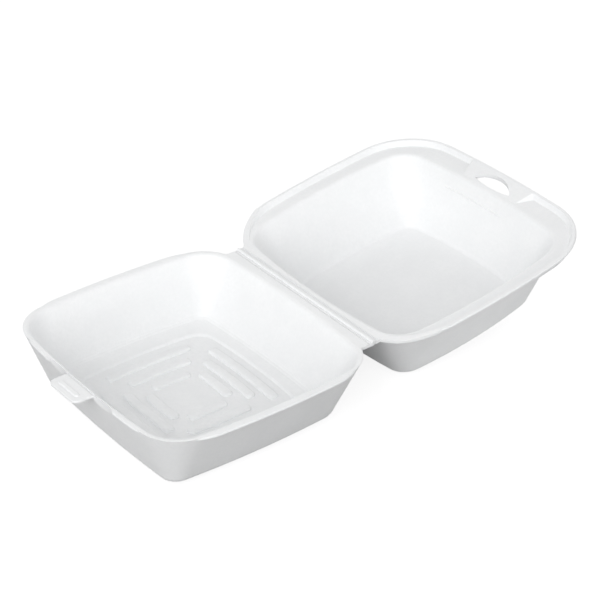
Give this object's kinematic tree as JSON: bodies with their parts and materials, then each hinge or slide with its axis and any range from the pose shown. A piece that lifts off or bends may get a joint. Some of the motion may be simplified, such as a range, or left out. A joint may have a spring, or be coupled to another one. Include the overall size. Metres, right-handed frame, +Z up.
{
  "type": "foam hinged lid container",
  "caption": "White foam food container lying open: a tray with ribbed floor and front tab, hinged to a lid with a stepped rim and a latch slot.",
  "frame": {"origin": "middle of the tray's rim in plan, on the flat underside that stands on the table", "axes": "+Z up, +Y from the tab through the tray to the hinge and the open lid, +X along the hinge"},
  "size_m": [0.1498, 0.2681, 0.0576],
  "materials": {
    "foam": "matte foam skin, faint mottle"
  },
  "bodies": {
    "base": {"base_tray": "foam"},
    "lid": {"lid": "foam"}
  },
  "joints": [
    {"name": "lid_hinge", "type": "hinge", "parent": "base", "child": "lid", "pos_m": [0, 0.0657, 0.03425], "axis": [1, 0, 0], "range_deg": [-9, 169]}
  ]
}
